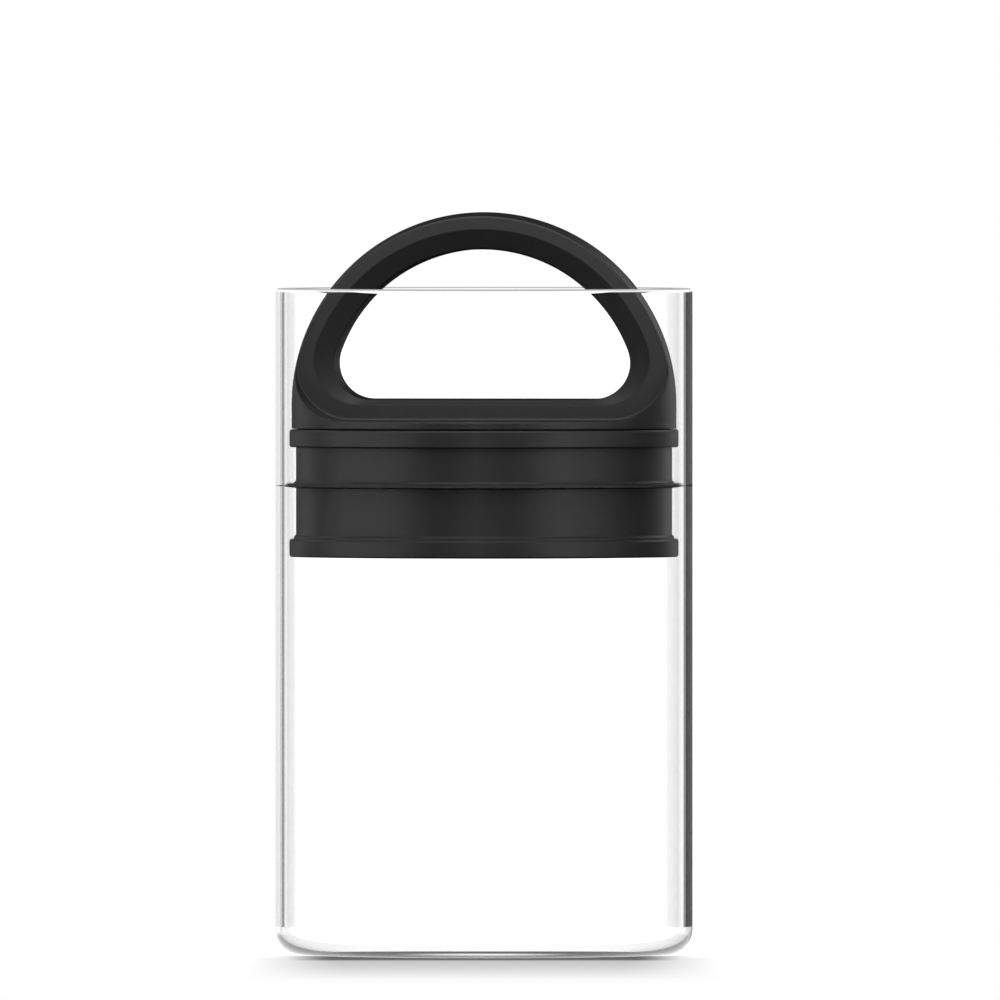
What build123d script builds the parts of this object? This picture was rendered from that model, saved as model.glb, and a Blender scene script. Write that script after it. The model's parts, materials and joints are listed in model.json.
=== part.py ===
"""Vacuum canister: a glass jar with a press-down plunger lid and a lift-to-release handle.

Millimetres, +Z up. The origin is the middle of the jar's foot, on the table.
The lid stands at lid_height, pushed part of the way down into the jar. Its pieces are
modelled from the lid's own underside, at height zero, and then seated at lid_height.
"""

from build123d import *
from math import asin, degrees, pi, sqrt
import os

os.makedirs("parts", exist_ok=True)

# Glass jar
jar_height = 152.0
jar_radius = 47.6
glass_wall = 2.0
glass_floor = 2.4
jar_foot_round = 6.0
rim_round_share = 0.47  # share of the wall, each side of the fire-polished rim
jar_bore = jar_radius - glass_wall
jar_bore_round = jar_foot_round - glass_wall

# Clearances
seal_clearance = 0.1  # the seal's lip to the glass
assembly_clearance = 0.05  # radial, between fixed pieces
running_clearance = 0.05  # radial, between the stem and its bush
telescope_clearance = 0.3  # radial, between the carrier and the housing
parting_gap = 0.2  # between the handle and the collar

# Lid stack, from its underside upwards
lid_height = 90.8
base_band_height = 4.0
lower_sleeve_height = 11.7
seal_thickness = 0.7
upper_sleeve_height = 8.6
collar_height = 4.0
handle_rim_height = 1.9
arch_centre_rise = 3.56
seal_bottom = base_band_height + lower_sleeve_height
seal_top = seal_bottom + seal_thickness
upper_sleeve_top = seal_top + upper_sleeve_height
collar_top = upper_sleeve_top + collar_height
handle_bottom = collar_top + parting_gap
trough_floor = handle_bottom + handle_rim_height
arch_centre = trough_floor + arch_centre_rise

# Bands and sleeves
band_gap = 1.2  # both bands to the glass
band_edge_chamfer = 0.35
sleeve_step = 1.5  # the sleeves stand this far inside the bands
sleeve_wall = 2.0
sleeve_foot_flare = 0.5
sleeve_foot_height = 0.5
band_radius = jar_bore - band_gap
sleeve_radius = band_radius - sleeve_step
sleeve_bore = sleeve_radius - sleeve_wall

# Screws
screw_shank_radius = 1.45
screw_head_reach = 1.25
screw_head_height = 2.0
screw_clearance = 0.15
socket_share = 0.9  # socket radius as a share of the shank's
socket_depth = 1.2
screw_boss_wall = 1.8
screw_boss_floor = 1.4
screw_head_radius = screw_shank_radius + screw_head_reach
pilot_radius = screw_shank_radius + assembly_clearance

# Base plate
base_thickness = 2.0
spigot_height = 2.5
spigot_wall = 2.0
inlet_radius = 1.5
inlet_ring_shares = (0.31, 0.52)  # pitch radii as shares of the spigot's bore
inlet_ring_counts = (8, 12)
spigot_radius = sleeve_bore - assembly_clearance
spigot_bore = spigot_radius - spigot_wall

# Wiper seal, clamped between the two housings
lip_radius = jar_bore - seal_clearance
bead_inset = 3.9  # inside the sleeves' bore
bead_width = 1.6
bead_depth = 1.2  # above and below the disc
bead_clearance = 0.1
seal_web_width = 1.0  # inside the bead
bead_inner_radius = sleeve_bore - bead_inset
bead_radius = bead_inner_radius + bead_width
seal_inner_radius = bead_inner_radius - seal_web_width

# Stem and its bush
stem_radius = 2.5
stem_end_gap = 0.6  # above the base plate
thread_step = 0.5
thread_end_gap = 0.2
stem_flange_reach = 1.5
stem_flange_height = 1.2
stem_seat_gap = 0.1
clip_groove_depth = 0.6
clip_rise = 0.8  # from the stem's lower end
clip_thickness = 0.6
clip_reach = 1.8
clip_mouth = 3.0
bush_wall = 1.4
bush_flange_reach = 1.1
bush_flange_height = 0.8
stem_thread_radius = stem_radius - thread_step
stem_flange_radius = stem_radius + stem_flange_reach
groove_radius = stem_radius - clip_groove_depth
clip_radius = stem_radius + clip_reach
bush_radius = stem_radius + running_clearance + bush_wall

# Lower housing and its valve deck
deck_thickness = 2.7
vent_radius = 1.3
vent_land = 1.3  # between the bush and the vents
vent_count = 6
rib_count = 8
rib_thickness = 1.6
rib_depth = 2.2
rib_land = 1.6  # between the vents and the ribs
vent_pitch_radius = bush_radius + assembly_clearance + vent_land + vent_radius
rib_inner_radius = vent_pitch_radius + vent_radius + rib_land
deck_bottom = seal_bottom - deck_thickness

# Umbrella valve
valve_overlap = 2.1  # past the vents
valve_seat_gap = 0.1
valve_skirt_thickness = 0.8
valve_skirt_rise = 1.6
valve_hub_wall = 1.8
valve_hub_height = 4.7
valve_rib_depth = 0.35
valve_rib_height = 1.0
valve_rib_rise = 2.6
valve_radius = vent_pitch_radius + vent_radius + valve_overlap

# Return spring and its retainer
spring_wire_radius = 0.35
spring_clearance = 1.35  # stem to wire
spring_turns = 5.0
spring_play = 0.65  # wire to the retainer's lip
retainer_thickness = 0.9
retainer_lip_height = 0.8
retainer_lip_wall = 0.5
spring_coil_radius = stem_radius + spring_clearance + spring_wire_radius
retainer_lip_bore = spring_coil_radius + spring_wire_radius + spring_play
retainer_radius = retainer_lip_bore + retainer_lip_wall

# Upper housing and collar
upper_deck_thickness = 2.2
valve_chamber_gap = 3.0  # round the umbrella valve
neck_step = 0.4  # the neck stands this far inside the sleeve
neck_gap = 0.2  # under the collar's lip
collar_lip_thickness = 1.4
housing_screw_length = 9.5
housing_screw_inset = 11.9  # inside the sleeves' bore
housing_screw_count = 4
housing_screw_first_angle = 45.0
upper_deck_top = seal_top + upper_deck_thickness
valve_chamber_radius = valve_radius + valve_chamber_gap
neck_radius = sleeve_radius - neck_step
collar_lip_bottom = collar_top - collar_lip_thickness
housing_screw_pitch_radius = sleeve_bore - housing_screw_inset
housing_screw_tip = upper_deck_top - housing_screw_length

# Heights along the stem
stem_bottom = base_thickness + stem_end_gap
clip_bottom = stem_bottom + clip_rise
clip_top = clip_bottom + clip_thickness
retainer_top = clip_top + retainer_thickness
bush_bottom = deck_bottom - bush_flange_height
valve_bottom = seal_top + valve_seat_gap
valve_top = valve_bottom + valve_hub_height
valve_rib_bottom = valve_bottom + valve_rib_rise
valve_rib_top = valve_rib_bottom + valve_rib_height
flange_top = valve_top + stem_flange_height

# Lift carrier, the handle's inner skirt, and its threaded insert
lift_travel = 3.0
lift_stop_gap = 0.2
carrier_deck_thickness = 2.4
carrier_skirt_wall = 1.8
carrier_foot_height = 2.0
carrier_foot_reach = 1.0
carrier_boss_wall = 2.5
insert_wall = 1.4
insert_cover = 0.9
carrier_deck_bottom = handle_bottom - carrier_deck_thickness
carrier_radius = sleeve_bore - telescope_clearance - carrier_foot_reach
carrier_boss_bottom = flange_top + stem_seat_gap
insert_radius = stem_thread_radius + assembly_clearance + insert_wall
insert_top = handle_bottom - insert_cover
carrier_boss_radius = insert_radius + assembly_clearance + carrier_boss_wall

# Handle and the soft liner of its opening
dome_step = 0.5  # inside the bands
handle_thickness = 17.6
trough_corner = 12.2
horn_step = 0.2  # from the face's arc out to the arc that the trough's corners touch
arch_thickness = 3.9
liner_width = 4.6
liner_corner = 10.3
liner_sill = 1.34
liner_bevel_depth = 1.3
opening_corner = 8.2
handle_edge_round = 0.35
liner_edge_round = 0.25
handle_screw_cover = 0.46  # from the tips to the liner above
handle_screw_inset = 10.0  # inside the liner's outline
handle_screw_apart = 4.5
dome_radius = band_radius - dome_step
face_radius = sqrt(dome_radius**2 - (handle_thickness / 2) ** 2)
liner_radius = dome_radius - arch_thickness
opening_radius = liner_radius - liner_width
opening_floor = arch_centre + liner_sill
handle_screw_across = liner_radius - handle_screw_inset
handle_screw_tip = arch_centre - handle_screw_cover
handle_screw_length = handle_screw_tip - carrier_deck_bottom

overrun = 5.0  # every cut runs this far past the faces it opens
near = jar_radius * 1e-4  # two places closer than this are the same


def turned(*points):
    """A solid turned about the lid's axis from an outline of (radius, height) points."""
    return revolve(Plane.XZ * make_face(Polyline(*points, close=True)), Axis.Z)


def pipe(outer, inner, bottom, top):
    """A plain ring or sleeve between two heights."""
    return turned((inner, bottom), (outer, bottom), (outer, top), (inner, top))


def rod(radius, bottom, top):
    """A plain round bar between two heights."""
    return Pos(0, 0, bottom) * Cylinder(
        radius, top - bottom, align=(Align.CENTER, Align.CENTER, Align.MIN)
    )


def around(count, radius, first_angle=0.0):
    """Evenly spaced places on a circle about the lid's axis."""
    return [
        Rot(0, 0, first_angle + 360.0 * step / count) * Pos(radius, 0, 0)
        for step in range(count)
    ]


def edges_at(solid, radius, height):
    """The round edges of one radius at one height."""
    return [
        edge
        for edge in solid.edges().filter_by(GeomType.CIRCLE)
        if abs(edge.radius - radius) < near and abs(edge.arc_center.Z - height) < near
    ]


def arcs_of(solid, radius):
    """The round edges of one radius, wherever they lie."""
    arcs = solid.edges().filter_by(GeomType.CIRCLE)
    return [edge for edge in arcs if abs(edge.radius - radius) < near]


def edges_in_plane(solid, depth):
    """The edges whose middles stand at one depth, in front and behind."""
    return [edge for edge in solid.edges() if abs(abs(edge.center().Y) - depth) < near]


def screw_up(length, tip_height):
    """A socket-head screw whose shank points up, with its tip at a height."""
    seat = tip_height - length
    body = rod(screw_shank_radius, seat, tip_height)
    body += rod(screw_head_radius, seat - screw_head_height, seat)
    socket = extrude(RegularPolygon(screw_shank_radius * socket_share, 6), socket_depth)
    return body - Pos(0, 0, seat - screw_head_height) * socket


def handle_screw_places():
    """The handle's four screws stand in the arch's two legs."""
    return [
        Pos(side * handle_screw_across, end * handle_screw_apart, 0)
        for side in (-1, 1)
        for end in (-1, 1)
    ]


def housing_screw_places():
    return around(
        housing_screw_count, housing_screw_pitch_radius, housing_screw_first_angle
    )


def glass_jar():
    """Straight-walled jar with a rounded foot and a fire-polished rim."""
    jar = turned(
        (0, 0),
        (jar_radius, 0),
        (jar_radius, jar_height),
        (jar_bore, jar_height),
        (jar_bore, glass_floor),
        (0, glass_floor),
    )
    jar = fillet(edges_at(jar, jar_radius, 0), jar_foot_round)
    jar = fillet(edges_at(jar, jar_bore, glass_floor), jar_bore_round)
    rims = edges_at(jar, jar_radius, jar_height) + edges_at(jar, jar_bore, jar_height)
    return fillet(rims, glass_wall * rim_round_share)


def base_plate():
    """Bottom disc with the lower band, a spigot into the housing and the air inlets."""
    spigot_top = base_band_height + spigot_height
    plate = turned(
        (0, 0),
        (band_radius, 0),
        (band_radius, base_band_height),
        (spigot_radius, base_band_height),
        (spigot_radius, spigot_top),
        (spigot_bore, spigot_top),
        (spigot_bore, base_thickness),
        (0, base_thickness),
    )
    rims = edges_at(plate, band_radius, 0) + edges_at(plate, band_radius, base_band_height)
    plate = chamfer(rims, band_edge_chamfer)
    for share, count in zip(inlet_ring_shares, inlet_ring_counts):
        for place in around(count, spigot_bore * share):
            plate -= place * rod(inlet_radius, -overrun, base_thickness + overrun)
    return plate


def bead_groove(bottom, top):
    """Room for half of the wiper seal's bead in one housing."""
    return pipe(
        bead_radius + bead_clearance, bead_inner_radius - bead_clearance, bottom, top
    )


def lower_housing():
    """Lower sleeve with the valve deck across its top."""
    foot_radius = sleeve_radius + sleeve_foot_flare
    foot_top = base_band_height + sleeve_foot_height
    seal_land = seal_inner_radius - bead_clearance
    housing = turned(
        (sleeve_bore, base_band_height),
        (foot_radius, base_band_height),
        (foot_radius, foot_top),
        (sleeve_radius, foot_top + sleeve_foot_flare),
        (sleeve_radius, seal_bottom),
        (seal_land, seal_bottom),
        (seal_land, seal_top),
        (0, seal_top),
        (0, deck_bottom),
        (sleeve_bore, deck_bottom),
    )
    rib_length = sleeve_bore - rib_inner_radius
    rib = Pos(rib_inner_radius + rib_length / 2, 0, deck_bottom - rib_depth / 2)
    for step in range(rib_count):
        turn = Rot(0, 0, 360.0 * step / rib_count)
        housing += turn * rib * Box(rib_length, rib_thickness, rib_depth)
    boss_bottom = housing_screw_tip - screw_boss_floor
    pilot_bottom = housing_screw_tip - assembly_clearance
    for place in housing_screw_places():
        housing += place * rod(pilot_radius + screw_boss_wall, boss_bottom, deck_bottom)
    for place in housing_screw_places():
        housing -= place * rod(pilot_radius, pilot_bottom, seal_top + overrun)
    for place in around(vent_count, vent_pitch_radius):
        housing -= place * rod(vent_radius, deck_bottom - overrun, seal_top + overrun)
    housing -= rod(bush_radius + assembly_clearance, deck_bottom - overrun, seal_top + overrun)
    return housing - bead_groove(seal_bottom - bead_depth - bead_clearance, seal_bottom + overrun)


def wiper_seal():
    """Thin silicone disc that wipes the glass, with a thick bead that holds it."""
    return turned(
        (seal_inner_radius, seal_bottom),
        (bead_inner_radius, seal_bottom),
        (bead_inner_radius, seal_bottom - bead_depth),
        (bead_radius, seal_bottom - bead_depth),
        (bead_radius, seal_bottom),
        (lip_radius, seal_bottom),
        (lip_radius, seal_top),
        (bead_radius, seal_top),
        (bead_radius, seal_top + bead_depth),
        (bead_inner_radius, seal_top + bead_depth),
        (bead_inner_radius, seal_top),
        (seal_inner_radius, seal_top),
    )


def upper_housing():
    """Upper sleeve with a clamping deck below and a neck for the collar above."""
    foot_radius = sleeve_radius + sleeve_foot_flare
    foot_top = seal_top + sleeve_foot_height
    neck_top = collar_lip_bottom - neck_gap
    housing = turned(
        (valve_chamber_radius, seal_top),
        (foot_radius, seal_top),
        (foot_radius, foot_top),
        (sleeve_radius, foot_top + sleeve_foot_flare),
        (sleeve_radius, upper_sleeve_top),
        (neck_radius, upper_sleeve_top),
        (neck_radius, neck_top),
        (sleeve_bore, neck_top),
        (sleeve_bore, upper_deck_top),
        (valve_chamber_radius, upper_deck_top),
    )
    hole_radius = screw_shank_radius + screw_clearance
    for place in housing_screw_places():
        housing -= place * rod(hole_radius, seal_top - overrun, upper_deck_top + overrun)
    groove = bead_groove(seal_top - overrun, seal_top + bead_depth + bead_clearance)
    return housing - groove


def upper_collar():
    """The upper band: a ring snapped over the neck, whose lip stops the lift."""
    collar_bore = neck_radius + assembly_clearance
    lip_bore = carrier_radius + telescope_clearance
    collar = turned(
        (collar_bore, upper_sleeve_top),
        (band_radius, upper_sleeve_top),
        (band_radius, collar_top),
        (lip_bore, collar_top),
        (lip_bore, collar_lip_bottom),
        (collar_bore, collar_lip_bottom),
    )
    rims = edges_at(collar, band_radius, upper_sleeve_top)
    rims += edges_at(collar, band_radius, collar_top)
    return chamfer(rims, band_edge_chamfer)


def housing_screws():
    """Screws down through the upper deck into blind bosses of the lower housing."""
    hanging = Pos(0, 0, housing_screw_tip) * Rot(180, 0, 0) * screw_up(housing_screw_length, 0)
    return Compound(children=[place * hanging for place in housing_screw_places()])


def guide_bush():
    """Flanged bush for the stem, pressed into the valve deck from below."""
    bore = stem_radius + running_clearance
    return turned(
        (bore, bush_bottom),
        (bush_radius + bush_flange_reach, bush_bottom),
        (bush_radius + bush_flange_reach, deck_bottom),
        (bush_radius, deck_bottom),
        (bush_radius, seal_top),
        (bore, seal_top),
    )


def valve_stem():
    """Steel stem from the spring retainer, through the deck, up to the carrier's insert."""
    rib_radius = stem_radius - valve_rib_depth
    thread_top = insert_top - thread_end_gap
    return turned(
        (0, stem_bottom),
        (stem_radius, stem_bottom),
        (stem_radius, clip_bottom),
        (groove_radius, clip_bottom),
        (groove_radius, clip_top),
        (stem_radius, clip_top),
        (stem_radius, valve_rib_bottom),
        (rib_radius, valve_rib_bottom),
        (rib_radius, valve_rib_top),
        (stem_radius, valve_rib_top),
        (stem_radius, valve_top),
        (stem_flange_radius, valve_top),
        (stem_flange_radius, flange_top),
        (stem_thread_radius, flange_top),
        (stem_thread_radius, thread_top),
        (0, thread_top),
    )


def umbrella_valve():
    """Silicone umbrella on the stem, closing the vents from above."""
    bore = stem_radius + assembly_clearance
    hub_radius = bore + valve_hub_wall
    rib_radius = bore - valve_rib_depth
    rib_bottom = valve_rib_bottom + assembly_clearance
    rib_top = valve_rib_top - assembly_clearance
    skirt_top = valve_bottom + valve_skirt_rise + valve_skirt_thickness
    return turned(
        (bore, valve_bottom + valve_skirt_rise),
        (hub_radius, valve_bottom + valve_skirt_rise),
        (valve_radius - valve_skirt_thickness, valve_bottom),
        (valve_radius, valve_bottom),
        (valve_radius, valve_bottom + valve_skirt_thickness / 2),
        (hub_radius, skirt_top),
        (hub_radius, valve_top),
        (bore, valve_top),
        (bore, rib_top),
        (rib_radius, rib_top),
        (rib_radius, rib_bottom),
        (bore, rib_bottom),
    )


def stem_clip():
    """C-shaped snap clip in the stem's groove."""
    ring = pipe(clip_radius, groove_radius + assembly_clearance, clip_bottom, clip_top)
    mouth = Pos(clip_radius / 2, 0, clip_bottom) * Box(
        clip_radius, clip_mouth, clip_thickness, align=(Align.CENTER, Align.CENTER, Align.MIN)
    )
    return ring - mouth


def spring_retainer():
    """Dished washer that carries the spring's lower end."""
    bore = stem_radius + assembly_clearance
    lip_top = retainer_top + retainer_lip_height
    return turned(
        (bore, clip_top),
        (retainer_radius, clip_top),
        (retainer_radius, lip_top),
        (retainer_lip_bore, lip_top),
        (retainer_lip_bore, retainer_top),
        (bore, retainer_top),
    )


def return_spring():
    """Compression spring between the retainer and the bush's flange."""
    length = bush_bottom - retainer_top - 2 * spring_wire_radius
    coil = Pos(0, 0, retainer_top + spring_wire_radius) * Helix(
        pitch=length / spring_turns, height=length, radius=spring_coil_radius
    )
    start = Plane(origin=coil @ 0, z_dir=coil % 0)
    spring = sweep(start * Circle(spring_wire_radius), path=coil, is_frenet=True)
    turn_rise = length / spring_turns
    wire_length = spring_turns * sqrt((2 * pi * spring_coil_radius) ** 2 + turn_rise**2)
    section = pi * spring_wire_radius**2
    print("spring volume share of its wire", round(spring.volume / (section * wire_length), 4))
    print("spring gap between turns", round(turn_rise - 2 * spring_wire_radius, 2))
    return spring


def stem_insert():
    """Brass threaded insert in the carrier's boss."""
    bore = stem_thread_radius + assembly_clearance
    return pipe(insert_radius, bore, carrier_boss_bottom, insert_top)


def lift_carrier():
    """Inner skirt that guides the handle in the housing and carries the stem."""
    skirt_bore = carrier_radius - carrier_skirt_wall
    foot_top = collar_lip_bottom - lift_travel - lift_stop_gap
    foot_bottom = foot_top - carrier_foot_height
    foot_radius = carrier_radius + carrier_foot_reach
    carrier = turned(
        (0, carrier_deck_bottom),
        (skirt_bore, carrier_deck_bottom),
        (skirt_bore, foot_bottom),
        (foot_radius, foot_bottom),
        (foot_radius, foot_top),
        (carrier_radius, foot_top),
        (carrier_radius, handle_bottom),
        (0, handle_bottom),
    )
    carrier += rod(carrier_boss_radius, carrier_boss_bottom, carrier_deck_bottom)
    carrier -= rod(insert_radius + assembly_clearance, carrier_boss_bottom - overrun, insert_top)
    hole_radius = screw_shank_radius + screw_clearance
    for place in handle_screw_places():
        carrier -= place * rod(hole_radius, carrier_deck_bottom - overrun, handle_bottom + overrun)
    return carrier


def d_face(radius, corner, floor):
    """D outline: an arc about the arch's centre, round lower corners and a flat floor."""
    corner_rise = floor + corner - arch_centre
    reach = radius - corner
    corner_across = sqrt(reach**2 - corner_rise**2)
    meet = degrees(asin(corner_rise / reach))
    outline = [
        Line((-corner_across, floor), (corner_across, floor)),
        CenterArc((corner_across, floor + corner), corner, -90, 90 + meet),
        CenterArc((0, arch_centre), radius, meet, 180 - 2 * meet),
        CenterArc((-corner_across, floor + corner), corner, 180 - meet, 90 + meet),
    ]
    return make_face(outline)


def d_prism(radius, corner, floor, half_depth):
    """A D outline carried through the handle's thickness."""
    return extrude(Plane.XZ * d_face(radius, corner, floor), half_depth, both=True)


def trough():
    """Flat-faced cut at the handle's front, whose round lower corners run into the face's arc."""
    top = arch_centre + dome_radius + overrun
    corner_rise = trough_floor + trough_corner - arch_centre
    touch_radius = face_radius + horn_step
    reach = touch_radius - trough_corner
    corner_across = sqrt(reach**2 - corner_rise**2)
    meet = degrees(asin(corner_rise / reach))
    half_width = corner_across * touch_radius / reach
    corner_top = arch_centre + corner_rise * touch_radius / reach
    outline = [
        Line((-corner_across, trough_floor), (corner_across, trough_floor)),
        CenterArc((corner_across, trough_floor + trough_corner), trough_corner, -90, 90 + meet),
        Line((half_width, corner_top), (half_width, top)),
        Line((half_width, top), (-half_width, top)),
        Line((-half_width, top), (-half_width, corner_top)),
        CenterArc(
            (-corner_across, trough_floor + trough_corner), trough_corner, 180 - meet, 90 + meet
        ),
    ]
    plane = Plane.XZ.offset(handle_thickness / 2)
    return extrude(plane * make_face(outline), dome_radius + overrun)


def handle():
    """Domed cap cut away front and rear, which leaves an arch with a D opening."""
    half = handle_thickness / 2
    dome = Pos(0, 0, arch_centre) * Sphere(dome_radius)
    dome &= rod(dome_radius, arch_centre, arch_centre + dome_radius)
    body = rod(dome_radius, handle_bottom, arch_centre) + dome
    front = trough()
    body = body - front - mirror(front, about=Plane.XZ)
    seat_radius = liner_radius + assembly_clearance
    body -= d_prism(
        seat_radius,
        liner_corner + assembly_clearance,
        arch_centre - assembly_clearance,
        half + overrun,
    )
    body = fillet(arcs_of(body, face_radius) + arcs_of(body, seat_radius), handle_edge_round)
    body = chamfer(edges_at(body, dome_radius, handle_bottom), handle_edge_round)
    pilot_top = handle_screw_tip + assembly_clearance
    for place in handle_screw_places():
        body -= place * rod(pilot_radius, handle_bottom - overrun, pilot_top)
    return body


def grip_liner():
    """Soft ring that lines the D opening, bevelled towards the fingers on both faces."""
    half = handle_thickness / 2
    liner = d_prism(liner_radius, liner_corner, arch_centre, half)
    liner -= d_prism(opening_radius, opening_corner, opening_floor, half + overrun)
    wide = Plane.XZ.offset(half) * d_face(liner_radius, liner_corner, arch_centre)
    narrow_plane = Plane.XZ.offset(half - liner_bevel_depth)
    narrow = narrow_plane * d_face(opening_radius, opening_corner, opening_floor)
    bevel = loft([wide, narrow], ruled=True)
    liner = liner - bevel - mirror(bevel, about=Plane.XZ)
    crests = edges_in_plane(liner, half) + edges_in_plane(liner, half - liner_bevel_depth)
    return fillet(crests, liner_edge_round)


def handle_screws():
    """Screws up through the carrier into the arch's legs."""
    upright = screw_up(handle_screw_length, handle_screw_tip)
    return Compound(children=[place * upright for place in handle_screw_places()])


lid_pieces = {
    "base_plate": base_plate,
    "lower_housing": lower_housing,
    "wiper_seal": wiper_seal,
    "upper_housing": upper_housing,
    "upper_collar": upper_collar,
    "housing_screws": housing_screws,
    "guide_bush": guide_bush,
    "valve_stem": valve_stem,
    "umbrella_valve": umbrella_valve,
    "stem_clip": stem_clip,
    "spring_retainer": spring_retainer,
    "return_spring": return_spring,
    "stem_insert": stem_insert,
    "lift_carrier": lift_carrier,
    "handle": handle,
    "grip_liner": grip_liner,
    "handle_screws": handle_screws,
}

export_step(glass_jar(), "parts/glass_jar.step")
for name, make in lid_pieces.items():
    export_step(Pos(0, 0, lid_height) * make(), f"parts/{name}.step")
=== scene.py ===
"""Looks of a vacuum canister: a clear glass jar, a charcoal plunger lid and its arched handle.

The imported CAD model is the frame. The jar, the handle, the soft liner of its opening and the
wiper seal are worked out here as fine surfaces, in millimetres and then scaled to metres. The
rest of the lid keeps its CAD nodes and gets its finishes here.
"""

import json
import math

import bmesh
import bpy
import numpy as np
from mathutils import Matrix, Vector

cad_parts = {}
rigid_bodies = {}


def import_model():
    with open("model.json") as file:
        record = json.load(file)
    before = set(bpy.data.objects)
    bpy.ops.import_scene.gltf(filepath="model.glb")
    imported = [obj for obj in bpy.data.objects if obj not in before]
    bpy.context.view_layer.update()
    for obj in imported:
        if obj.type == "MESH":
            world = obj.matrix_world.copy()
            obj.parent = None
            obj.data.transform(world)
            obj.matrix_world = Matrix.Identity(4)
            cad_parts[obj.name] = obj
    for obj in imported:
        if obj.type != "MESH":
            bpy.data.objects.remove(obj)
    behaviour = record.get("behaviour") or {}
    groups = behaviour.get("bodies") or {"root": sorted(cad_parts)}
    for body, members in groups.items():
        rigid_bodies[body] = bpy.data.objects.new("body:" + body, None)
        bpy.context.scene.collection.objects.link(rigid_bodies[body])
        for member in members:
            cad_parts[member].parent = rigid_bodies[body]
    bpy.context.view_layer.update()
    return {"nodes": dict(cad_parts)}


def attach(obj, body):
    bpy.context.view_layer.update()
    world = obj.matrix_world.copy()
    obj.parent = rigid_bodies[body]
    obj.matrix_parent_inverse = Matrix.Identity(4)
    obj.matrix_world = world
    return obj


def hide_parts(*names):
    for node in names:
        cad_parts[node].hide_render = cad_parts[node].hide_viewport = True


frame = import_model()

MM = 0.001
SIDES = 256

# Heights and radii of the real pieces, in millimetres, as in the CAD model
JAR_RADIUS, JAR_BORE, JAR_HEIGHT = 47.6, 45.6, 152.0
FLOOR_THICKNESS, FOOT_ROUND, RIM_ROUND = 2.4, 6.0, 0.94
BORE_ROUND = FOOT_ROUND - (JAR_RADIUS - JAR_BORE)
SEAL_BOTTOM, SEAL_TOP = 106.5, 107.2
HANDLE_BOTTOM, TROUGH_FLOOR, ARCH_CENTRE = 120.0, 121.9, 125.46
DOME_RADIUS, HALF_THICKNESS = 43.9, 8.8
FACE_RADIUS = math.sqrt(DOME_RADIUS**2 - HALF_THICKNESS**2)
# D outlines, as (radius of the arch, radius of the lower corners, height of the floor)
TROUGH_MARGIN, LINER_RISE, SEAT_GAP = 0.2, 1.34, 0.005
TROUGH = (FACE_RADIUS + TROUGH_MARGIN, 12.2, TROUGH_FLOOR)
LINER = (40.0, 10.3, ARCH_CENTRE)
SEAT = (LINER[0] + SEAT_GAP, LINER[1] + SEAT_GAP, LINER[2] - SEAT_GAP)
OPENING = (35.4, 8.2, ARCH_CENTRE + LINER_RISE)


# Mesh helpers

MERGE, SHORTEST_EDGE = 2e-6, 1e-6  # metres


def add_mesh(name, grids, material):
    """Joins grids of points into one smooth closed mesh.

    Each grid is (points, joined), where points is a rows x columns x 3 array in millimetres and
    joined says whether the last column joins the first. Grids share the points of their common
    edges, which are merged, and the faces are turned outwards.
    """
    vertices, faces, offset = [], [], 0
    for points, joined in grids:
        rows, columns = points.shape[:2]
        index = offset + np.arange(rows * columns).reshape(rows, columns)
        if joined:
            index = np.concatenate([index, index[:, :1]], axis=1)
        quads = np.stack([index[:-1, :-1], index[:-1, 1:], index[1:, 1:], index[1:, :-1]], axis=-1)
        vertices.append(points.reshape(-1, 3) * MM)
        faces.append(quads.reshape(-1, 4))
        offset += rows * columns
    mesh = bpy.data.meshes.new(name)
    mesh.from_pydata(np.concatenate(vertices), [], np.concatenate(faces).tolist())
    work = bmesh.new()
    work.from_mesh(mesh)
    bmesh.ops.remove_doubles(work, verts=work.verts, dist=MERGE)
    bmesh.ops.dissolve_degenerate(work, edges=work.edges, dist=SHORTEST_EDGE)
    bmesh.ops.recalc_face_normals(work, faces=work.faces)
    work.to_mesh(mesh)
    work.free()
    mesh.polygons.foreach_set("use_smooth", np.ones(len(mesh.polygons), bool))
    mesh.materials.append(material)
    piece = bpy.data.objects.new(name, mesh)
    bpy.context.scene.collection.objects.link(piece)
    return piece


def rounded(corners, steps=8, hold=0.04):
    """A line through (radius, height, round) corners, each round one an arc of that size.

    An arc starts where it is tangent to both runs. A point a little before and after it holds
    the runs flat under smooth shading.
    """
    points = []
    for k, (x, z, size) in enumerate(corners):
        here = np.array([x, z], float)
        if size == 0 or k in (0, len(corners) - 1):
            points.append(here[None])
            continue
        back = np.array(corners[k - 1][:2], float) - here
        ahead = np.array(corners[k + 1][:2], float) - here
        back, ahead = back / np.linalg.norm(back), ahead / np.linalg.norm(ahead)
        half = 0.5 * math.acos(float(np.clip(back @ ahead, -1, 1)))
        reach = size / math.tan(half)
        middle = here + (back + ahead) / np.linalg.norm(back + ahead) * size / math.sin(half)
        start, end = here + back * reach - middle, here + ahead * reach - middle
        sweep = math.pi - 2 * half
        t = np.linspace(0, 1, steps + 1)[:, None]
        arc = (np.sin((1 - t) * sweep) * start + np.sin(t * sweep) * end) / math.sin(sweep)
        before, after = here + back * (reach + hold), here + ahead * (reach + hold)
        points.append(np.concatenate([before[None], middle + arc, after[None]]))
    return np.concatenate(points)


def turned(line, sides=SIDES):
    """A (radius, height) line turned about the vertical axis, one row for each of its points."""
    angle = np.arange(sides) * 2 * math.pi / sides
    radius, height = line[:, :1], line[:, 1:]
    across = [radius * np.cos(angle), radius * np.sin(angle), height + 0 * angle]
    return np.stack(across, axis=-1)


def closed(line):
    """The line with its first point again at its end."""
    return np.concatenate([line, line[:1]])


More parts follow.
